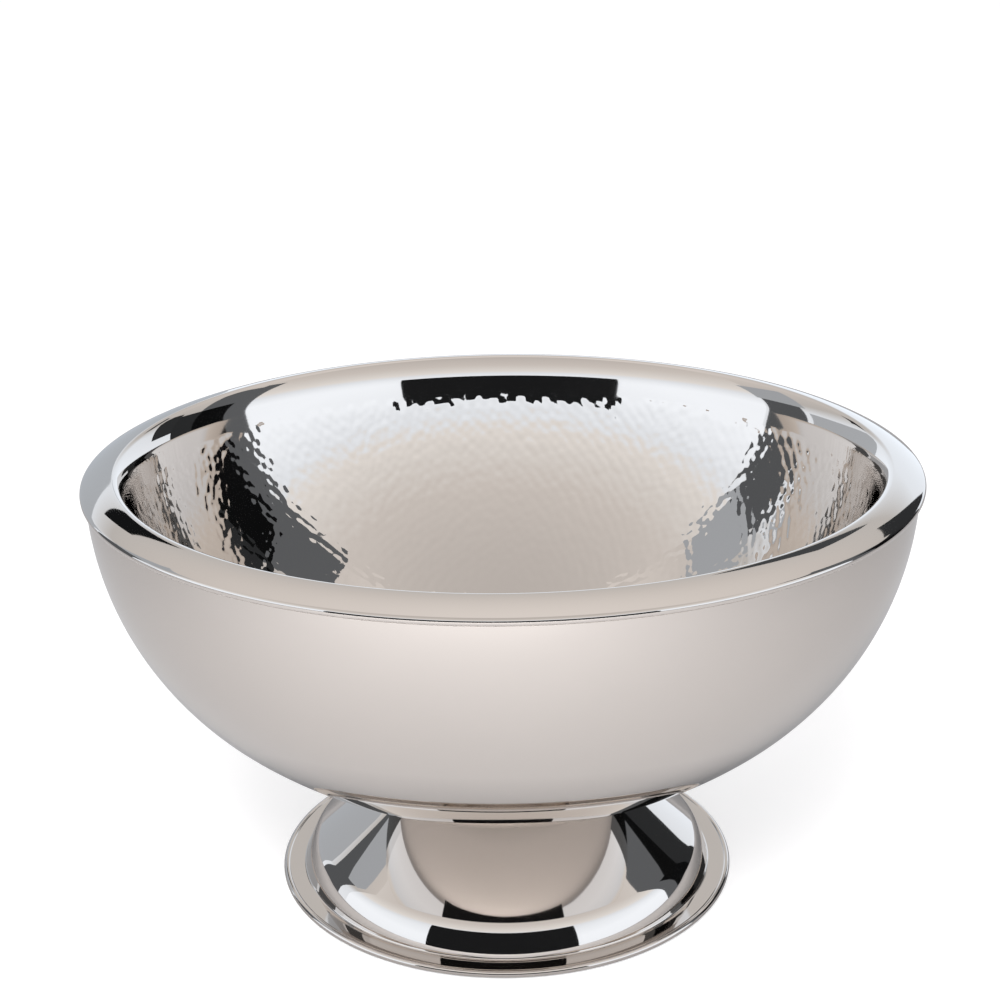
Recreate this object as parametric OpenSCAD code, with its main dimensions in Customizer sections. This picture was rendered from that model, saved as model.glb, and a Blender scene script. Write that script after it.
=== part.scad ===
// Double-walled punch bowl on a spun pedestal foot.
// Origin: centre of the footprint, on the surface the bowl stands on. +Z is up, millimetres.

/* [Bowl] */
// Diameter over the rolled lip
lip_d = 400; // [360:5:440]
// Diameter of the crest of the lip
crest_d = 370; // [330:1:372]
// Height of the bowl from the table to the crest of the lip
bowl_h = 220; // [214:1:232]
// Diameter of the outer shell where it meets the lip
shell_d = 395; // [355:5:435]
// Radius of the outer shell's side, in the vertical section
shell_side_r = 148; // [140:1:152]
// Radius of the round liner
liner_r = 182; // [178:1:184]
// Height of the liner's floor above the table
liner_floor_z = 68; // [66:1:72]
// Thickness of the rolled steel sheet
sheet = 1; // [0.8:0.1:1.2]

/* [Lip] */
// Radius of the inner bend at the crest of the lip
crest_r = 3.5; // [3:0.5:5]
// Radius of the flare between the liner and the crest
flare_r = 23; // [20:1:26]
// Radius of the broad outer slope of the lip
lip_slope_r = 33; // [28:1:40]
// Radius of the folded outer edge of the lip
lip_edge_r = 2; // [1.6:0.1:2.4]

/* [Foot] */
// Diameter over the rolled edge of the foot
foot_d = 230; // [210:2:250]
// Radius of the steep, slightly bowed skirt of the foot
skirt_r = 45; // [40:1:60]
// Radius of the round shoulder between the skirt and the cone
shoulder_r = 16; // [12:0.5:20]
// Slope of the cone of the foot, from the level
cone_slope = 40; // [38:1:42]
// Radius of the rolled edge
bead_r = 1.8; // [1.6:0.1:2]

/* [Fixing] */
// Diameter of the stud that holds the foot
stud_d = 8; // [6:1:8]
// Width of the nut across its flats
nut_flats = 13; // [12:0.5:15]
// Diameter of the plate that carries the stud
stud_plate_d = 60; // [50:2:70]

/* [Hidden] */
$fn = 96;
far = 600;
bowl_steps = 16;
lip_steps = 10;

// Outer shell: a shallow bottom arc that runs into a tighter side arc
shell_r = shell_d / 2;
shell_top_z = bowl_h - 6;
shell_drop = 166.5;
shell_floor_r = oval_floor_r(shell_r, shell_drop, shell_side_r);
shell_side_c = [shell_r - shell_side_r, shell_top_z];
shell_floor_c = [0, shell_top_z - shell_drop + shell_floor_r];
shell_join = atan2(shell_side_c.y - shell_floor_c.y, shell_side_c.x - shell_floor_c.x);
shell_tuck = 0.8;
seat_r = 45;
seat_turn = -acos(seat_r / shell_floor_r);
seat_z = shell_floor_c.y + shell_floor_r * sin(seat_turn);

// Liner: a round cap, a flare above it that is tangent to the cap and to the crest bend
liner_c = [0, liner_floor_z + liner_r];
crest_c = [crest_d / 2, bowl_h - crest_r];
crest_out = crest_c - liner_c;
flare_reach = flare_r - crest_r;
flare_cos = (pow(liner_r + flare_r, 2) - pow(norm(crest_out), 2) - pow(flare_reach, 2))
            / (2 * flare_reach * norm(crest_out));
flare_high = acos(flare_cos) - atan2(crest_out.y, crest_out.x);
flare_c = crest_c + flare_reach * dir(-flare_high);
liner_turn = atan2(flare_c.y - liner_c.y, flare_c.x);

// Lip: crest bend, broad slope, folded edge, short hem against the shell
crest_tilt = 85;
slope_c = crest_c + (crest_r - lip_slope_r) * dir(crest_tilt);
edge_tilt = acos((lip_d / 2 - lip_edge_r - slope_c.x) / (lip_slope_r - lip_edge_r));
edge_c = slope_c + (lip_slope_r - lip_edge_r) * dir(edge_tilt);
hem_z = edge_c.y - lip_edge_r;

// Foot: rolled edge, flange, step, skirt, shoulder, cone
foot_r = foot_d / 2;
lift = 0.5;
bead_c = [foot_r - bead_r, lift + bead_r];
wire_r = bead_r - 0.8;
flange_top = bead_c.y + 1;
flange_end = bead_c.x - bead_r + 0.4;
step_r = 1.2;
step_c = [foot_r - 10.5, flange_top + step_r];
skirt_low = 14;
skirt_high = 29;
skirt_c = step_c - (skirt_r + step_r) * dir(skirt_low);
shoulder_c = skirt_c + (skirt_r - shoulder_r) * dir(skirt_high);
cone_turn = 90 - cone_slope;
cone_foot = shoulder_c + shoulder_r * dir(cone_turn);
cone_run = dir(180 - cone_slope);
cone_len = 62;
ring_w = 9;

// Stack of the fixing, from the shell's flat seat downwards and upwards
gasket_t = 0.8;
bridge_t = 2;
washer_t = 1.6;
spring_t = 2;
nut_t = 6.5;
plate_t = 2.5;
gasket_z = seat_z - gasket_t;
bridge_z = gasket_z - bridge_t;
washer_z = bridge_z - washer_t;
spring_z = washer_z - spring_t;
nut_z = spring_z - nut_t;
plate_z = seat_z + sheet;
pad_z = plate_z + plate_t;
pad_r = 38;
pad_blank = 25;
stud_r = stud_d / 2;
stud_low = nut_z - 4;
hole_r = stud_r + 0.3;
nut_corner_r = nut_flats / 2 / cos(30);
neck_rise = (bridge_z + bridge_t - cone_foot.y) / cone_run.y;
bridge_r = (cone_foot + neck_rise * cone_run).x - sheet / cos(cone_turn) - 0.2;

// Radius of the bottom arc of an oval that is a wide, b deep and has sides of radius r
function oval_floor_r(a, b, r) = ((a - r) * (a - r) + b * b - r * r) / (2 * (b - r));

// The unit vector at an angle
function dir(a) = [cos(a), sin(a)];

// Points along an arc about c, evenly spaced; the first direction's own point is left out
function arc(c, r, from, to, steps) =
    [for (i = [1:steps]) c + r * dir(from + (to - from) * i / steps)];

// The same points in the opposite order
function back(points) = [for (i = [len(points) - 1:-1:0]) points[i]];

// Section of a bent sheet: along one face, and back along the other
module sheet_section(face, other_face) polygon(concat(face, back(other_face)));

// A flat ring or disc
module disc(r, hole, z, t) {
    translate([0, 0, z]) difference() {
        cylinder(r = r, h = t);
        translate([0, 0, -1]) cylinder(r = hole, h = t + 2);
    }
}

// One face of the liner's wall, from the middle of its floor to the crest; t is how far out it lies
function liner_face(t) = concat(
    [[0, liner_floor_z - t]],
    arc(liner_c, liner_r + t, -90, liner_turn, 2 * bowl_steps),
    arc(flare_c, flare_r - t, 180 + liner_turn, 180 - flare_high, lip_steps));

// One face of the lip, from the crest to the end of the hem; t is the depth below the outer face
function lip_face(t) = concat(
    arc(crest_c, crest_r - t, 180 - flare_high, crest_tilt, lip_steps),
    arc(slope_c, lip_slope_r - t, crest_tilt, edge_tilt, lip_steps),
    arc(edge_c, lip_edge_r - t, edge_tilt, -90, lip_steps),
    [[shell_r, hem_z + t]]);

// Liner with its lip, one spun and hammered piece
module inner_bowl() color("gainsboro") rotate_extrude()
    sheet_section(concat(liner_face(0), lip_face(0)), concat(liner_face(sheet), lip_face(sheet)));

// One face of the shell's wall, from its flat seat to its top edge; t is the depth into the sheet
function shell_face(t) = concat(
    [[hole_r, seat_z + t], [seat_r, seat_z + t]],
    arc(shell_floor_c, shell_floor_r - t, seat_turn, shell_join, bowl_steps),
    arc(shell_side_c, shell_side_r - t, shell_join, 0, bowl_steps),
    [[shell_r - t, shell_top_z + shell_tuck]]);

// Outer shell with the flat seat for the foot
module outer_shell() color("silver") rotate_extrude() sheet_section(shell_face(0), shell_face(sheet));

// One face of the foot, from the flange to the top of the cone; t is the depth into the sheet
function foot_face(t) = concat(
    [[flange_end, flange_top - t], [step_c.x, flange_top - t]],
    arc(step_c, step_r + t, 270, 180 + skirt_low, lip_steps),
    arc(skirt_c, skirt_r - t, skirt_low, skirt_high, lip_steps),
    arc(shoulder_c, shoulder_r - t, skirt_high, cone_turn, lip_steps),
    [cone_foot - t * dir(cone_turn) + cone_len * cone_run]);

// Spun foot: cone, shoulder, skirt, flange and the edge rolled round a wire
module pedestal_foot() color("silver") rotate_extrude() difference() {
    union() {
        sheet_section(foot_face(0), foot_face(sheet));
        translate(bead_c) circle(r = bead_r);
    }
    translate(bead_c) circle(r = wire_r);
    polygon(concat(shell_face(0), [[0, far]]));
}

// Wire inside the rolled edge of the foot
module edge_wire() color("dimgray") rotate_extrude() translate(bead_c) circle(r = wire_r);

// Soft puck that keeps the two bowls apart
module spacer_pad() color("darkslategray") rotate_extrude() difference() {
    translate([0, pad_z]) square([pad_r, pad_blank]);
    polygon(concat(liner_face(sheet), [[0, bowl_h]]));
}

// Plate welded inside the shell, with the stud through it
module stud_plate() color("slategray") disc(stud_plate_d / 2, stud_r, plate_z, plate_t);

// Threaded stud with a chamfered end
module foot_stud() color("lightsteelblue") {
    chamfer = 0.8;
    translate([0, 0, stud_low + chamfer]) cylinder(r = stud_r, h = pad_z - stud_low - chamfer);
    translate([0, 0, stud_low]) cylinder(r1 = stud_r - chamfer, r2 = stud_r, h = chamfer);
}

// Thin seal between the shell's seat and the foot
module neck_gasket() color("black") disc(seat_r - 1, hole_r + 2, gasket_z, gasket_t);

// Plate welded across the neck of the foot
module bridge_plate() color("gray") disc(bridge_r, hole_r, bridge_z, bridge_t);

// Plain washer
module plain_washer() color("lightgray") disc(12, hole_r, washer_z, washer_t);

// Split spring washer
module spring_washer() color("darkgray") difference() {
    disc(7.4, hole_r, spring_z, spring_t);
    translate([5, 0, spring_z + spring_t / 2]) rotate([35, 0, 0]) cube([8, 1.2, 8], center = true);
}

// Hexagon nut, with both faces chamfered
module hex_nut() color("lightsteelblue") difference() {
    intersection() {
        translate([0, 0, nut_z]) cylinder(r = nut_corner_r, h = nut_t, $fn = 6);
        translate([0, 0, nut_z]) cylinder(r1 = nut_flats / 2, r2 = nut_flats / 2 + nut_t, h = nut_t);
        translate([0, 0, nut_z]) cylinder(r1 = nut_flats / 2 + nut_t, r2 = nut_flats / 2, h = nut_t);
    }
    translate([0, 0, nut_z - 1]) cylinder(r = stud_r, h = nut_t + 2);
}

// Soft ring pressed under the flange, which the bowl stands on
module base_ring() color("dimgray")
    disc(bead_c.x - bead_r - 0.2, bead_c.x - bead_r - 0.2 - ring_w, 0, flange_top - sheet);

inner_bowl();
outer_shell();
pedestal_foot();
spacer_pad();
stud_plate();
foot_stud();
neck_gasket();
bridge_plate();
plain_washer();
spring_washer();
hex_nut();
edge_wire();
base_ring();
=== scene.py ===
# %% [markdown]
# # A double-walled punch bowl in mirror-polished steel
#
# The bowl is two steel bowls, one inside the other. The inner one, the liner, is hammered
# all over inside and turns outwards at the top into a broad lip. The outer one is smooth.
# Both stand on a spun foot. Polished steel has almost no colour of its own: what we see in it
# is the room. So this lesson spends its effort on three things: true curves, shallow hammer
# marks, and a small studio for the steel to mirror.
#
# We start by loading the exact model, which fixes every size and place.

import math
import random

import bpy
from mathutils import Matrix, Vector
from mathutils.kdtree import KDTree


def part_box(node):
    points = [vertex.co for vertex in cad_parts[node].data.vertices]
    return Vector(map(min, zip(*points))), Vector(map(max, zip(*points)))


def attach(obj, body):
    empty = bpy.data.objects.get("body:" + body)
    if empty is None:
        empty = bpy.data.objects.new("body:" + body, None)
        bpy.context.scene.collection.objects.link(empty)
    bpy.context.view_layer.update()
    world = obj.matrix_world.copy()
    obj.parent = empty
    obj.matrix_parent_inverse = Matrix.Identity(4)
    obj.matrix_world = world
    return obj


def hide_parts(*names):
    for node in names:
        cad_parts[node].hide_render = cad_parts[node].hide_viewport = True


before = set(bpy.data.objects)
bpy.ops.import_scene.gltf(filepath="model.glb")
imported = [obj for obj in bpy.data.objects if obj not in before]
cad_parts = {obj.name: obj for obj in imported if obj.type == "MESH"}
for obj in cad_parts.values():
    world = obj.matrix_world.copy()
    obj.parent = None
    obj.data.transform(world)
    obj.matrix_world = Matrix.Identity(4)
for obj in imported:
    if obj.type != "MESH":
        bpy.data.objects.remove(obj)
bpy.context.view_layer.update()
MM = 0.001

# %% [markdown]
# ## The camera
#
# The bowl is seen from a little above, close enough for the front of the lip to look larger
# than the back. A lens of 66 mm at 0.85 m gives that. The camera could be aimed with a
# constraint, but a place, a pitch and a slight roll say the same in three plain numbers.

# %% Place the camera
CAMERA_PLACE = Vector((-0.0014, -0.8498, 0.4863))
CAMERA_PITCH = math.radians(18.92)
CAMERA_ROLL = math.radians(-0.66)
LENS = 66.5
SENSOR = 36.0

camera_data = bpy.data.cameras.new("camera")
camera_data.lens = LENS
camera_data.sensor_width = SENSOR
camera_data.clip_start = 0.01
camera = bpy.data.objects.new("camera", camera_data)
bpy.context.scene.collection.objects.link(camera)
tilt = Matrix.Rotation(math.pi / 2 - CAMERA_PITCH, 4, "X")
camera.matrix_world = Matrix.Translation(CAMERA_PLACE) @ tilt @ Matrix.Rotation(CAMERA_ROLL, 4, "Z")
bpy.context.scene.camera = camera
print("camera at", [round(c, 3) for c in CAMERA_PLACE])

# %% [markdown]
# ## Spinning a section
#
# Bowls like this are spun: a disc of sheet turns on a lathe and is pressed over a former.
# We can do the same. A section is a list of (radius, height) points, and spinning it about
# the upright axis makes the piece. A Screw modifier would do it too, but building the rings
# ourselves lets a point on the axis close neatly and keeps the mirror free of stray faces.

# %% Helpers for sections
ROUND_STEPS = 256


def direction(angle):
    """The unit vector at an angle in degrees, in the plane of a section."""
    return Vector((math.cos(math.radians(angle)), math.sin(math.radians(angle))))


def arc(centre, radius, start, end, steps):
    """Points along an arc, without its first point."""
    turns = [start + (end - start) * i / steps for i in range(1, steps + 1)]
    return [centre + radius * direction(turn) for turn in turns]


def add_mesh(name, points, faces):
    """A smooth mesh object made from plain points and faces."""
    mesh = bpy.data.meshes.new(name)
    mesh.from_pydata([tuple(p) for p in points], [], faces)
    mesh.validate()
    mesh.shade_smooth()
    made = bpy.data.objects.new(name, mesh)
    bpy.context.scene.collection.objects.link(made)
    return made


def spin(name, section, closed=True, steps=ROUND_STEPS):
    """A section spun about the upright axis. Points on the axis become one point each."""
    points = []
    rings = []
    for radius, height in section:
        if radius < 1e-6:
            rings.append([len(points)] * steps)
            points.append((0.0, 0.0, height))
            continue
        first = len(points)
        for k in range(steps):
            turn = 2 * math.pi * k / steps
            points.append((radius * math.cos(turn), radius * math.sin(turn), height))
        rings.append(list(range(first, first + steps)))
    faces = []
    pairs = list(zip(rings, rings[1:]))
    if closed and section[0][0] > 1e-6 and section[-1][0] > 1e-6:
        pairs.append((rings[-1], rings[0]))
    for low, high in pairs:
        for k in range(steps):
            n = (k + 1) % steps
            corners = [low[k], low[n], high[n], high[k]]
            corners = [c for i, c in enumerate(corners) if c not in corners[:i]]
            if len(corners) > 2:
                faces.append(corners)
    return add_mesh(name, points, faces)


def sharpen(piece, degrees=35):
    """Keeps the true edges of a piece crisp and everything else smooth."""
    piece.data.set_sharp_from_angle(angle=math.radians(degrees))


def settle(piece, node):
    """Fixes a finished piece in the frame, in place of the CAD node it stands for."""
    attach(piece, "root")
    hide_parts(node)
    print(piece.name, len(piece.data.polygons), "faces")


# %% [markdown]
# ## Finishes
#
# Polished steel is a metal shader with very little roughness. Real polish is never perfect:
# it holds a faint haze that comes and goes, and fine wiping marks. Noise drives the roughness
# between two close values, and a weak bump bends the reflections by a hair. Flat colour would
# look like plastic chrome. The same recipe, rougher, gives the plain steel underneath.


# %% Steel recipe
def new_material(name):
    """An empty node material, and its shader."""
    material = bpy.data.materials.new(name)
    material.use_nodes = True
    nodes = material.node_tree.nodes
    nodes.clear()
    shader = nodes.new("ShaderNodeBsdfPrincipled")
    output = nodes.new("ShaderNodeOutputMaterial")
    material.node_tree.links.new(shader.outputs["BSDF"], output.inputs["Surface"])
    return material, nodes, material.node_tree.links, shader


def noise_at(nodes, links, scale, detail, stretch=(1.0, 1.0, 1.0)):
    """Noise laid out in the piece's own space, with an optional stretch."""
    place = nodes.new("ShaderNodeTexCoord")
    mapping = nodes.new("ShaderNodeMapping")
    mapping.inputs["Scale"].default_value = stretch
    noise = nodes.new("ShaderNodeTexNoise")
    noise.inputs["Scale"].default_value = scale
    noise.inputs["Detail"].default_value = detail
    links.new(place.outputs["Object"], mapping.inputs["Vector"])
    links.new(mapping.outputs["Vector"], noise.inputs["Vector"])
    return noise.outputs["Fac"]


def spread(nodes, links, value, low, high):
    """Turns noise into a range of values."""
    ramp = nodes.new("ShaderNodeMapRange")
    ramp.inputs["From Min"].default_value = 0.3
    ramp.inputs["From Max"].default_value = 0.7
    ramp.inputs["To Min"].default_value = low
    ramp.inputs["To Max"].default_value = high
    links.new(value, ramp.inputs["Value"])
    return ramp.outputs["Result"]


def tint(nodes, links, value, dark, light):
    """Turns noise into a colour between two close tones."""
    mix = nodes.new("ShaderNodeMix")
    mix.data_type = "RGBA"
    mix.inputs["A"].default_value = (*dark, 1.0)
    mix.inputs["B"].default_value = (*light, 1.0)
    links.new(value, mix.inputs["Factor"])
    return mix.outputs["Result"]


def relief(nodes, links, shader, value, depth, strength):
    """Bends the surface's shading by a height, in metres."""
    bump = nodes.new("ShaderNodeBump")
    bump.inputs["Strength"].default_value = strength
    bump.inputs["Distance"].default_value = depth
    links.new(value, bump.inputs["Height"])
    links.new(bump.outputs["Normal"], shader.inputs["Normal"])


def steel(name, dark, light, smooth, rough, grain, grain_depth, stretch=(1.0, 1.0, 1.0)):
    """Steel with a haze that comes and goes, and fine marks left by the polishing."""
    material, nodes, links, shader = new_material(name)
    shader.inputs["Metallic"].default_value = 1.0
    haze = noise_at(nodes, links, 14.0, 3.0)
    links.new(tint(nodes, links, haze, dark, light), shader.inputs["Base Color"])
    links.new(spread(nodes, links, haze, smooth, rough), shader.inputs["Roughness"])
    marks = noise_at(nodes, links, grain, 4.0, stretch)
    relief(nodes, links, shader, marks, grain_depth, 0.2)
    return material


STEEL_DARK = (0.655, 0.607, 0.566)
STEEL_LIGHT = (0.68, 0.63, 0.588)
POLISHED = steel("polished_steel", STEEL_DARK, STEEL_LIGHT, 0.02, 0.045, 40.0, 4e-6)
HAMMERED = steel("hammered_steel", STEEL_DARK, STEEL_LIGHT, 0.02, 0.05, 60.0, 6e-6)
PLAIN = steel("plain_steel", (0.50, 0.49, 0.47), (0.62, 0.61, 0.59), 0.24, 0.38, 90.0, 3e-5, (1, 14, 1))
ZINC = steel("zinc_steel", (0.56, 0.57, 0.58), (0.72, 0.72, 0.70), 0.26, 0.42, 260.0, 3e-5)
print("steels:", POLISHED.name, HAMMERED.name, PLAIN.name, ZINC.name)


# %% Rubber recipe
def rubber(name, dark, light, grain):
    """Dull rubber with a faint moulded grain and a little dust."""
    material, nodes, links, shader = new_material(name)
    dust = noise_at(nodes, links, 60.0, 5.0)
    links.new(tint(nodes, links, dust, dark, light), shader.inputs["Base Color"])
    links.new(spread(nodes, links, dust, 0.55, 0.8), shader.inputs["Roughness"])
    relief(nodes, links, shader, noise_at(nodes, links, grain, 3.0), 8e-5, 0.5)
    return material


PAD_RUBBER = rubber("pad_rubber", (0.035, 0.045, 0.05), (0.07, 0.08, 0.085), 700.0)
SEAL_RUBBER = rubber("seal_rubber", (0.012, 0.012, 0.012), (0.03, 0.03, 0.03), 900.0)
RING_RUBBER = rubber("ring_rubber", (0.05, 0.05, 0.052), (0.1, 0.1, 0.1), 800.0)

# %% [markdown]
# ## The outer shell
#
# The shell is a deep, smooth bowl. Its section is a shallow arc that runs into a tighter
# one at the side, which meets the lip standing upright. At the bottom it has a small flat
# seat for the foot. An ellipse would look close, but two tangent arcs are what a spinning
# former is turned to, and they give the same soft break in the reflections.

# %% Sizes that everything shares
SHEET = 1.0 * MM
LIP_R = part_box("inner_bowl")[1].x
CREST_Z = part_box("inner_bowl")[1].z
SHELL_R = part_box("outer_shell")[1].x
FOOT_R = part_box("pedestal_foot")[1].x
STUD_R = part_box("foot_stud")[1].x
HOLE_GAP = 0.3 * MM
HOLE_R = STUD_R + HOLE_GAP
print("lip", round(LIP_R, 4), "crest", round(CREST_Z, 4), "shell", round(SHELL_R, 4))

# %% Spin the shell
LIP_DROP = 6 * MM
SHELL_TOP = CREST_Z - LIP_DROP
SHELL_DROP = 166.5 * MM
SHELL_SIDE_R = 148 * MM
SEAT_R = 45 * MM
SHELL_TUCK = 0.8 * MM
ARC_STEPS = 44

reach = SHELL_R - SHELL_SIDE_R
SHELL_FLOOR_R = (reach**2 + SHELL_DROP**2 - SHELL_SIDE_R**2) / (2 * (SHELL_DROP - SHELL_SIDE_R))
SHELL_SIDE_C = Vector((reach, SHELL_TOP))
SHELL_FLOOR_C = Vector((0, SHELL_TOP - SHELL_DROP + SHELL_FLOOR_R))
join_line = SHELL_SIDE_C - SHELL_FLOOR_C
SHELL_JOIN = math.degrees(math.atan2(join_line.y, join_line.x))
SEAT_TURN = -math.degrees(math.acos(SEAT_R / SHELL_FLOOR_R))
SEAT_Z = SHELL_FLOOR_C.y + SHELL_FLOOR_R * math.sin(math.radians(SEAT_TURN))


def shell_face(depth):
    """One face of the shell's sheet, from the hole in its seat to its top edge."""
    seat = [Vector((HOLE_R, SEAT_Z + depth)), Vector((SEAT_R, SEAT_Z + depth))]
    floor = arc(SHELL_FLOOR_C, SHELL_FLOOR_R - depth, SEAT_TURN, SHELL_JOIN, ARC_STEPS)
    side = arc(SHELL_SIDE_C, SHELL_SIDE_R - depth, SHELL_JOIN, 0, ARC_STEPS)
    return seat + floor + side + [Vector((SHELL_R - depth, SHELL_TOP + SHELL_TUCK))]


shell = spin("outer_shell_skin", shell_face(0) + shell_face(SHEET)[::-1])
sharpen(shell)
shell.data.materials.append(POLISHED)
settle(shell, "outer_shell")

# %% [markdown]
# ## The liner's section
#
# The liner is a round cap. Near the top it flares out, turns over the crest in a tight bend,
# and slopes down as a broad lip to a folded edge that grips the shell. The flare matters
# more than its size suggests: an upright wall would mirror the other side of the bowl, while
# a wall that leans out mirrors the room. Each arc starts where the last one ends, with the
# same direction, so the mirror has no kinks.

# %% Work out the arcs of the liner
LINER_R = 182 * MM
LINER_FLOOR_Z = 68 * MM
LINER_C = Vector((0, LINER_FLOOR_Z + LINER_R))
CREST_BEND_R = 3.5 * MM
FLARE_R = 23 * MM
SLOPE_R = 33 * MM
EDGE_R = 2 * MM
CREST_TILT = 85
LIP_WIDTH = 15 * MM

CREST_C = Vector((LIP_R - LIP_WIDTH, CREST_Z - CREST_BEND_R))
out = CREST_C - LINER_C
bend_gap = FLARE_R - CREST_BEND_R
flare_cos = ((LINER_R + FLARE_R) ** 2 - out.length**2 - bend_gap**2) / (2 * bend_gap * out.length)
FLARE_HIGH = math.degrees(math.acos(flare_cos) - math.atan2(out.y, out.x))
FLARE_C = CREST_C + bend_gap * direction(-FLARE_HIGH)
LINER_TURN = math.degrees(math.atan2(FLARE_C.y - LINER_C.y, FLARE_C.x))
SLOPE_C = CREST_C + (CREST_BEND_R - SLOPE_R) * direction(CREST_TILT)
EDGE_TILT = math.degrees(math.acos((LIP_R - EDGE_R - SLOPE_C.x) / (SLOPE_R - EDGE_R)))
EDGE_C = SLOPE_C + (SLOPE_R - EDGE_R) * direction(EDGE_TILT)
print("the flare leans out by", round(-LINER_TURN, 1), "degrees at its foot")

# %% [markdown]
# ## Hammer marks
#
# Each blow leaves a shallow round dent about 5 mm across. The dents crowd together until only
# soft ridges are left, about a tenth of a millimetre high. A bump texture alone would
# slide under the light, so the dents are real shape. We scatter the blows evenly over the
# cap with a golden-angle spiral, shift each a little, and push every point of the mesh out
# by the deepest dent it lies in. The blows stop in a ragged line below the smooth band.

# %% Scatter the blows
BLOW_GAP = 5.2 * MM
BLOW_R = 3.7 * MM
BLOW_DEPTH = 0.18 * MM
BLOW_TOP_Z = 198.5 * MM
BLOW_SCATTER = 0.24 * BLOW_GAP
RIDGE_SOFTNESS = 0.006 * MM
LARGEST_POWER = 60
HONEYCOMB_SHARE = 0.87
GOLDEN_TURN = math.pi * (3 - math.sqrt(5))
draw = random.Random(7)

cap_height = BLOW_TOP_Z - (LINER_C.y - LINER_R)
blow_count = int(2 * math.pi * LINER_R * cap_height / (BLOW_GAP**2 * HONEYCOMB_SHARE))
blows = KDTree(blow_count)
blow_depths = []
for i in range(blow_count):
    height = LINER_C.y - LINER_R + cap_height * (i + 0.5) / blow_count
    radius = math.sqrt(LINER_R**2 - (LINER_C.y - height) ** 2)
    turn = i * GOLDEN_TURN
    shift = Vector((draw.uniform(-1, 1), draw.uniform(-1, 1), draw.uniform(-1, 1))) * BLOW_SCATTER
    spot = Vector((radius * math.cos(turn), radius * math.sin(turn), height)) + shift
    blows.insert(spot, i)
    blow_depths.append(BLOW_DEPTH * draw.uniform(0.7, 1.25))
blows.balance()
print(blow_count, "hammer blows")


def dent(point):
    """How deep the hammered surface lies below the plain one at a point."""
    total = 1.0
    for spot, index, distance in blows.find_n(point, 4):
        hollow = blow_depths[index] * (1 - (distance / BLOW_R) ** 2)
        if hollow > 0:
            total += math.exp(min(hollow / RIDGE_SOFTNESS, LARGEST_POWER)) - 1
    return RIDGE_SOFTNESS * math.log(total)


# %% [markdown]
# ## The liner's mesh
#
# A spun mesh crowds its points at the axis and starves the wall, just where the marks are
# seen best. So the hammered cap is made of rings that each hold six points more than the
# last, which keeps its triangles even. The smooth band, the lip and the plain back need far
# fewer points, and join it through one ring where four fine edges meet one coarse edge.

# %% Build the liner
CAP_RINGS = 144
COARSE = 4
BACK_STEPS = 30
LIP_STEPS = 10
CAP_TOP_Z = 200.5 * MM
CAP_TURN = math.degrees(math.asin((CAP_TOP_Z - LINER_C.y) / LINER_R))


def cap_points():
    """Rings of the hammered cap, from the middle of the floor outwards."""
    points = [Vector((0, 0, LINER_C.y - LINER_R))]
    for ring in range(1, CAP_RINGS + 1):
        turn = math.radians(-90 + (CAP_TURN + 90) * ring / CAP_RINGS)
        radius = LINER_R * math.cos(turn)
        height = LINER_C.y + LINER_R * math.sin(turn)
        for k in range(6 * ring):
            round_turn = 2 * math.pi * k / (6 * ring)
            points.append(Vector((radius * math.cos(round_turn), radius * math.sin(round_turn), height)))
    middle = Vector((0, 0, LINER_C.y))
    return [p + (p - middle).normalized() * dent(p) for p in points]


def cap_faces():
    """Even triangles between rings that grow by six points each."""
    faces = [[0, 1 + k, 1 + (k + 1) % 6] for k in range(6)]
    inner_first = 1
    for ring in range(2, CAP_RINGS + 1):
        inner_count = 6 * (ring - 1)
        outer_count = 6 * ring
        outer_first = inner_first + inner_count
        for side in range(6):
            for k in range(ring):
                outer_a = outer_first + side * ring + k
                outer_b = outer_first + (side * ring + k + 1) % outer_count
                inner_a = inner_first + (side * (ring - 1) + k) % inner_count
                faces.append([inner_a, outer_a, outer_b])
                if k < ring - 1:
                    inner_b = inner_first + (side * (ring - 1) + k + 1) % inner_count
                    faces.append([inner_a, outer_b, inner_b])
        inner_first = outer_first
    return faces


def upper_section():
    """From the cap's edge over the band, flare, crest, slope, folded edge and hem, and back down."""
    def face(depth, from_turn):
        wall = arc(LINER_C, LINER_R + depth, from_turn, LINER_TURN, LIP_STEPS)
        flare = arc(FLARE_C, FLARE_R - depth, 180 + LINER_TURN, 180 - FLARE_HIGH, LIP_STEPS)
        crest = arc(CREST_C, CREST_BEND_R - depth, 180 - FLARE_HIGH, CREST_TILT, LIP_STEPS)
        slope = arc(SLOPE_C, SLOPE_R - depth, CREST_TILT, EDGE_TILT, 2 * LIP_STEPS)
        edge = arc(EDGE_C, EDGE_R - depth, EDGE_TILT, -90, LIP_STEPS)
        hem = [Vector((SHELL_R, EDGE_C.y - EDGE_R + depth))]
        return wall + flare + crest + slope + edge + hem

    back = arc(LINER_C, LINER_R + SHEET, -90, CAP_TURN, BACK_STEPS)
    underside = [Vector((0, LINER_C.y - LINER_R - SHEET))] + back + face(SHEET, CAP_TURN)
    return face(0, CAP_TURN) + underside[::-1]


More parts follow.
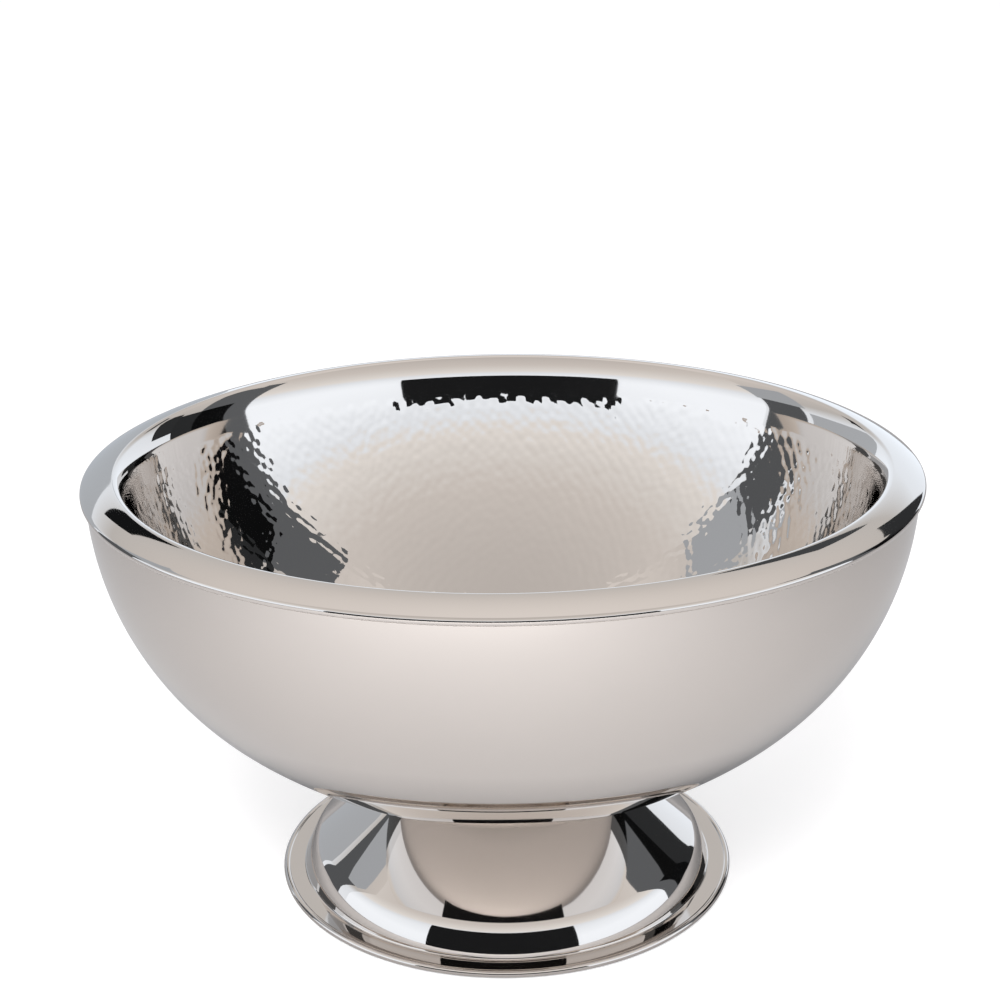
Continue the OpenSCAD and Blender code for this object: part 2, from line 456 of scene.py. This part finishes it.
def build_liner():
    """The whole liner as one closed mesh."""
    points = cap_points()
    faces = cap_faces()
    fine_count = 6 * CAP_RINGS
    coarse_count = fine_count // COARSE
    fine_first = len(points) - fine_count
    rings = []
    for radius, height in upper_section():
        if radius < 1e-6:
            rings.append([len(points)] * coarse_count)
            points.append(Vector((0, 0, height)))
            continue
        rings.append(list(range(len(points), len(points) + coarse_count)))
        for k in range(coarse_count):
            turn = 2 * math.pi * k / coarse_count
            points.append(Vector((radius * math.cos(turn), radius * math.sin(turn), height)))
    for k in range(coarse_count):
        n = (k + 1) % coarse_count
        fine = [fine_first + (COARSE * k + j) % fine_count for j in range(COARSE + 1)]
        half = COARSE // 2
        for j in range(half):
            faces.append([fine[j], rings[0][k], fine[j + 1]])
        faces.append([fine[half], rings[0][k], rings[0][n]])
        for j in range(half, COARSE):
            faces.append([fine[j], rings[0][n], fine[j + 1]])
    for low, high in zip(rings, rings[1:]):
        for k in range(coarse_count):
            n = (k + 1) % coarse_count
            corners = [low[k], high[k], high[n], low[n]]
            corners = [c for i, c in enumerate(corners) if c not in corners[:i]]
            if len(corners) > 2:
                faces.append(corners)
    return add_mesh("inner_bowl_skin", points, faces)


liner = build_liner()
liner.data.materials.append(HAMMERED)
sharpen(liner, 60)
settle(liner, "inner_bowl")

# %% [markdown]
# ## The foot
#
# The foot is spun from one disc: a cone under the bowl, a round shoulder, a steep skirt and
# a flat flange whose edge is rolled round a wire. The rolled edge is what the eye reads as
# a fine bright line round the base, so it is a true half-round and not a bevel.

# %% Spin the foot
LIFT = 0.5 * MM
BEAD_R = 1.8 * MM
BEAD_C = Vector((FOOT_R - BEAD_R, LIFT + BEAD_R))
FLANGE_TOP = BEAD_C.y + 1 * MM
STEP_R = 1.2 * MM
FLANGE_WIDTH = 10.5 * MM
STEP_C = Vector((FOOT_R - FLANGE_WIDTH, FLANGE_TOP + STEP_R))
SKIRT_R = 45 * MM
SHOULDER_R = 16 * MM
SKIRT_LOW = 14
SKIRT_HIGH = 29
CONE_SLOPE = 40
CONE_REACH = 62 * MM
RIM_START = 208
RIM_END = -146
CONE_TURN = 90 - CONE_SLOPE
SKIRT_C = STEP_C - (SKIRT_R + STEP_R) * direction(SKIRT_LOW)
SHOULDER_C = SKIRT_C + (SKIRT_R - SHOULDER_R) * direction(SKIRT_HIGH)
CONE_FOOT = SHOULDER_C + SHOULDER_R * direction(CONE_TURN)
CONE_RUN = direction(180 - CONE_SLOPE)


def shell_height(radius):
    """Height of the shell's underside at a radius."""
    return SHELL_FLOOR_C.y - math.sqrt(SHELL_FLOOR_R**2 - radius**2)


def cone_top(depth):
    """Where the cone, at this depth into its sheet, meets the shell."""
    start = CONE_FOOT - depth * direction(CONE_TURN)
    low, high = 0.0, CONE_REACH
    for _ in range(40):
        middle = (low + high) / 2
        spot = start + middle * CONE_RUN
        if spot.y < shell_height(spot.x):
            low = middle
        else:
            high = middle
    return start + low * CONE_RUN


def foot_face(depth):
    """One face of the foot's sheet, from the rolled edge to the top of the cone."""
    flange = [Vector((STEP_C.x, FLANGE_TOP - depth))]
    step = arc(STEP_C, STEP_R + depth, 270, 180 + SKIRT_LOW, LIP_STEPS)
    skirt = arc(SKIRT_C, SKIRT_R - depth, SKIRT_LOW, SKIRT_HIGH, 2 * LIP_STEPS)
    shoulder = arc(SHOULDER_C, SHOULDER_R - depth, SKIRT_HIGH, CONE_TURN, LIP_STEPS)
    last = shoulder[-1]
    top = cone_top(depth)
    cone = [last.lerp(top, i / LIP_STEPS) for i in range(1, LIP_STEPS + 1)]
    return flange + step + skirt + shoulder + cone


def rolled_rim():
    """The edge rolled round its wire, open where the flange's sheet runs into it."""
    rolled = arc(BEAD_C, BEAD_R, RIM_START, RIM_END, 3 * LIP_STEPS)[::-1]
    kept = [p for p in rolled if p.x >= BEAD_C.x or not FLANGE_TOP - SHEET < p.y < FLANGE_TOP]
    top_side = [p for p in kept if p.y >= FLANGE_TOP or p.x >= BEAD_C.x]
    low_side = [p for p in kept if p not in top_side]
    return low_side + top_side


foot = spin("pedestal_foot_skin", rolled_rim() + foot_face(0) + foot_face(SHEET)[::-1])
sharpen(foot)
foot.data.materials.append(POLISHED)
settle(foot, "pedestal_foot")

# %% [markdown]
# ## What holds the foot on
#
# Turn the bowl over and the fixing shows: a plate across the neck of the foot, a washer, a
# spring washer and a nut on a stud. The thread is the one thing the exact model leaves
# plain, so the stud gets real thread rings here, at the pitch of its size. The other
# pieces already have their true shapes, and only need a finish.

# %% Cut the thread on the stud
THREAD_PITCH = 1.25 * MM
THREAD_DEPTH = 0.5 * MM
THREAD_CHAMFER = 0.8 * MM
stud_low, stud_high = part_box("foot_stud")


def build_stud():
    """A stud with a helical thread along its lower part and a chamfered end."""
    steps = 64
    rows = int((stud_high.z - stud_low.z) / (THREAD_PITCH / 10))
    points = [Vector((0, 0, stud_low.z))]
    for row in range(rows + 1):
        height = stud_low.z + (stud_high.z - stud_low.z) * row / rows
        from_end = min(height - stud_low.z, stud_high.z - height)
        chamfer = max(0.0, THREAD_CHAMFER - (height - stud_low.z))
        for k in range(steps):
            phase = (height / THREAD_PITCH - k / steps) % 1.0
            groove = THREAD_DEPTH * (1 - abs(2 * phase - 1)) * min(1.0, from_end / THREAD_PITCH)
            radius = STUD_R - max(groove, chamfer)
            turn = 2 * math.pi * k / steps
            points.append(Vector((radius * math.cos(turn), radius * math.sin(turn), height)))
    points.append(Vector((0, 0, stud_high.z)))
    faces = [[0, 1 + (k + 1) % steps, 1 + k] for k in range(steps)]
    for row in range(rows):
        first = 1 + row * steps
        for k in range(steps):
            n = (k + 1) % steps
            faces.append([first + k, first + n, first + steps + n, first + steps + k])
    last = 1 + rows * steps
    faces += [[last + k, last + (k + 1) % steps, len(points) - 1] for k in range(steps)]
    return add_mesh("foot_stud_thread", points, faces)


stud = build_stud()
stud.data.materials.append(ZINC)
sharpen(stud, 50)
settle(stud, "foot_stud")

# %% Finish the pieces that keep their exact shape
FINISHES = {
    "spacer_pad": PAD_RUBBER,
    "stud_plate": PLAIN,
    "neck_gasket": SEAL_RUBBER,
    "bridge_plate": PLAIN,
    "plain_washer": ZINC,
    "spring_washer": ZINC,
    "hex_nut": ZINC,
    "edge_wire": PLAIN,
    "base_ring": RING_RUBBER,
}
for node, finish in FINISHES.items():
    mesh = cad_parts[node].data
    mesh.materials.clear()
    mesh.materials.append(finish)
print(len(FINISHES), "pieces keep their exact shape")

# %% [markdown]
# ## The studio
#
# A mirror shows its surroundings, so the surroundings are part of the picture. The bowl
# stands on a pale table under a tent of white cloth. In front the cloth is brightest low
# down and turns warm and dimmer overhead. A dark gap is left where the viewer stands, and a
# dark flag stands on each side. Steel without dark shapes to mirror looks like grey plastic:
# the flags are what draw its edges.
#
# Each card is a patch of a sphere, given by its bearing and its height above the horizon, so
# one reflection can be moved without touching the others. The camera doesn't see the cards,
# which keeps the background plain from every side.

# %% [markdown]
# ### The table, laid twice
#
# One table would have to be white for the background and darker in the steel, because the
# bowl stands over its own reflection. So the table is laid twice at the same height. The
# first is for the viewer: white, with a trace of shadow. The second is only seen by the
# steel: a darker copy with painted shade, greyer all over and darker still round the foot,
# where the bowl keeps the cloth's light off.

# %% Table
TABLE_HALF = 12.0
# Painted shade: inside this ring round the foot, the mirrored table's colour is darkened.
PAINTED_SHADE_INSIDE = 0.10
PAINTED_SHADE_OUTSIDE = 0.17


def table_finish(name, dark, light, lift, painted_foot_shade):
    """Matt and pale, faintly uneven, with a glow of its own and painted shade round the foot, its colour
    darkened there.
    """
    material, nodes, links, shader = new_material(name)
    shader.inputs["Specular IOR Level"].default_value = 0.0
    shader.inputs["Roughness"].default_value = 1.0
    shader.inputs["Emission Strength"].default_value = lift
    patches = noise_at(nodes, links, 3.0, 2.0)
    place = nodes.new("ShaderNodeTexCoord")
    reach_out = nodes.new("ShaderNodeVectorMath")
    reach_out.operation = "LENGTH"
    # Painted shade: this fade darkens the colour towards the foot, standing in for the bowl's shadow.
    painted_shade_fade = nodes.new("ShaderNodeMapRange")
    painted_shade_fade.inputs["From Min"].default_value = PAINTED_SHADE_INSIDE
    painted_shade_fade.inputs["From Max"].default_value = PAINTED_SHADE_OUTSIDE
    painted_shade_fade.inputs["To Min"].default_value = painted_foot_shade
    painted_shade_fade.inputs["To Max"].default_value = 1.0
    shade = nodes.new("ShaderNodeMix")
    shade.data_type = "RGBA"
    shade.blend_type = "MULTIPLY"
    shade.inputs["Factor"].default_value = 1.0
    links.new(place.outputs["Object"], reach_out.inputs[0])
    links.new(reach_out.outputs["Value"], painted_shade_fade.inputs["Value"])
    links.new(tint(nodes, links, patches, dark, light), shade.inputs["A"])
    links.new(painted_shade_fade.outputs["Result"], shade.inputs["B"])
    links.new(shade.outputs["Result"], shader.inputs["Base Color"])
    return material


def add_table(name, finish):
    """A wide flat table top at the height of the foot."""
    corners = [(-TABLE_HALF, -TABLE_HALF, 0), (TABLE_HALF, -TABLE_HALF, 0)]
    corners += [(TABLE_HALF, TABLE_HALF, 0), (-TABLE_HALF, TABLE_HALF, 0)]
    made = add_mesh(name, corners, [[0, 1, 2, 3]])
    made.data.materials.append(finish)
    made.visible_diffuse = False
    made.visible_shadow = False
    return made


seen_finish = table_finish("table_seen", (0.54, 0.53, 0.53), (0.56, 0.55, 0.55), 0.55, 1.0)
# The mirrored table is a darker copy whose colour carries painted shade, down to three quarters round
# the foot.
mirrored_shaded_finish = table_finish("table_mirrored_painted_shade", (0.47, 0.47, 0.48), (0.50, 0.50, 0.51), 0.0, 0.75)
seen_table = add_table("table", seen_finish)
seen_table.visible_glossy = False
mirrored_table = add_table("table_mirrored", mirrored_shaded_finish)
mirrored_table.visible_camera = False
print("table", 2 * TABLE_HALF, "m across")


# %% Cards
GREY = (1.0, 1.0, 1.0)
COOL = (0.91, 1.0, 1.11)
WARM = (1.03, 1.0, 0.985)


def glow(name, stops, distance):
    """A glow that changes with height. Each stop is (height in degrees, colour, strength)."""
    material, nodes, links, shader = new_material(name)
    peak = max(strength for _, _, strength in stops)
    shader.inputs["Base Color"].default_value = (0.0, 0.0, 0.0, 1.0)
    shader.inputs["Specular IOR Level"].default_value = 0.0
    shader.inputs["Emission Strength"].default_value = peak
    place = nodes.new("ShaderNodeTexCoord")
    split = nodes.new("ShaderNodeSeparateXYZ")
    share = nodes.new("ShaderNodeMath")
    share.operation = "DIVIDE"
    share.inputs[1].default_value = distance
    ramp = nodes.new("ShaderNodeValToRGB")
    marks = ramp.color_ramp.elements
    while len(marks) < len(stops):
        marks.new(0.5)
    while len(marks) > len(stops):
        marks.remove(marks[-1])
    for mark, (height, colour, strength) in zip(marks, stops):
        mark.position = math.sin(math.radians(height))
        mark.color = (*[c * strength / peak for c in colour], 1.0)
    links.new(place.outputs["Object"], split.inputs["Vector"])
    links.new(split.outputs["Z"], share.inputs[0])
    links.new(share.outputs["Value"], ramp.inputs["Fac"])
    links.new(ramp.outputs["Color"], shader.inputs["Emission Color"])
    return material


def stage_card(name, points, faces, finish):
    """A card that only the steel sees: no camera, no shadow."""
    made = add_mesh(name, points, faces)
    made.data.materials.append(finish)
    made.visible_camera = False
    made.visible_shadow = False
    return made


def grid_faces(steps):
    """The square faces of a grid of points."""
    faces = []
    for j in range(steps):
        for i in range(steps):
            a = j * (steps + 1) + i
            faces.append([a, a + 1, a + steps + 2, a + steps + 1])
    return faces


def card(name, bearing, height, stops, distance):
    """A patch of the dome. Bearing 0 is the viewer's side, and grows to the right."""
    steps = 16
    points = []
    for j in range(steps + 1):
        up = math.radians(height[0] + (height[1] - height[0]) * j / steps)
        for i in range(steps + 1):
            turn = math.radians(bearing[0] + (bearing[1] - bearing[0]) * i / steps)
            across = distance * math.cos(up)
            points.append((across * math.sin(turn), -across * math.cos(turn), distance * math.sin(up)))
    return stage_card(name, points, grid_faces(steps), glow(name + "_glow", stops, distance))


def flag(name, bearing, height, brightness, distance):
    """A card of one brightness that leaves the table's light alone."""
    stops = [(0, COOL, brightness), (89, COOL, brightness)]
    made = card(name, bearing, height, stops, distance)
    made.visible_diffuse = False
    return made


# %% [markdown]
# ### The cloth
#
# The cloth hangs in two halves, each with its own list of heights and strengths. The front
# fades steadily from low down to overhead. The back dims halfway up and brightens again.
# Three tones are enough: neutral, a little blue low down, and a little warm overhead.

# %% Hang the cloth
TENT = 11.0
FRONT_EDGE = 97

front_cloth = [(0, COOL, 1.42), (10, COOL, 1.46), (18, COOL, 1.33), (24, COOL, 1.19)]
front_cloth += [(30, GREY, 1.06), (36, GREY, 0.97), (48, WARM, 0.82), (66, WARM, 0.73), (89, WARM, 0.68)]
back_cloth = [(0, COOL, 1.25), (18, COOL, 1.15), (27, GREY, 0.68), (45, WARM, 0.80), (89, WARM, 0.98)]
card("tent_front", (-FRONT_EDGE, FRONT_EDGE), (0, 90), front_cloth, TENT)
card("tent_back", (FRONT_EDGE, 360 - FRONT_EDGE), (0, 90), back_cloth, TENT)
print("cloth", TENT, "m away, parted at", FRONT_EDGE, "degrees")

# %% [markdown]
# ### Flags
#
# The flags stand nearer than the cloth. How near matters: the inside of the bowl and the
# foot look at a flag from different heights, so its distance sets how tall it looks in each.
# The broad ones stand right and left, and the narrow strips draw the fine lines of the lip.

# %% Flags and gaps
NEAR_FLAGS = 1.6
FAR_FLAGS = 3.0

flag("gap_front", (-42, 36), (0, 25), 0.016, NEAR_FLAGS)
flag("flag_left", (-121, -102), (0, 30), 0.13, NEAR_FLAGS)
flag("flag_left_top", (-124, -100), (30, 46), 0.55, NEAR_FLAGS)
flag("grey_left", (-165, -124), (0, 25), 0.6, NEAR_FLAGS)
flag("flag_right_edge", (95, 105), (0, 50), 0.16, FAR_FLAGS)
flag("flag_right", (105, 121), (0, 31), 0.006, FAR_FLAGS)
flag("flag_right_back", (121, 133), (0, 31), 0.035, FAR_FLAGS)
flag("flag_right_top", (105, 122), (31, 48), 0.16, FAR_FLAGS)
flag("strip_right", (133, 145), (15, 33), 0.04, FAR_FLAGS)
flag("strip_back", (154, 166), (31, 38), 0.08, FAR_FLAGS)
flag("strip_left", (-160, -148), (25.5, 32.5), 0.01, FAR_FLAGS)
print("flags at", NEAR_FLAGS, "and", FAR_FLAGS, "m")

# %% [markdown]
# ### Room light
#
# One soft box in front of the bowl makes the table brightest there and dimmer at the sides,
# which is what rounds the shell. The steel doesn't mirror it, or it would show as a square.

# %% Room light
soft_box = bpy.data.lights.new("soft_box", "AREA")
soft_box.shape = "SQUARE"
soft_box.size = 0.6
soft_box.energy = 23.0
soft_box.color = (1.0, 0.99, 0.98)
front_light = bpy.data.objects.new("front_light", soft_box)
front_light.location = (-0.12, -0.9, 1.0)
front_light.visible_glossy = False
bpy.context.scene.collection.objects.link(front_light)
print("soft box", soft_box.size, "m")

world = bpy.data.worlds.new("room")
world.use_nodes = True
bpy.context.scene.world = world
room = world.node_tree.nodes["Background"]
room.inputs["Color"].default_value = (1.0, 0.99, 0.98, 1.0)
room.inputs["Strength"].default_value = 1.0
bpy.context.scene.view_settings.view_transform = "Standard"
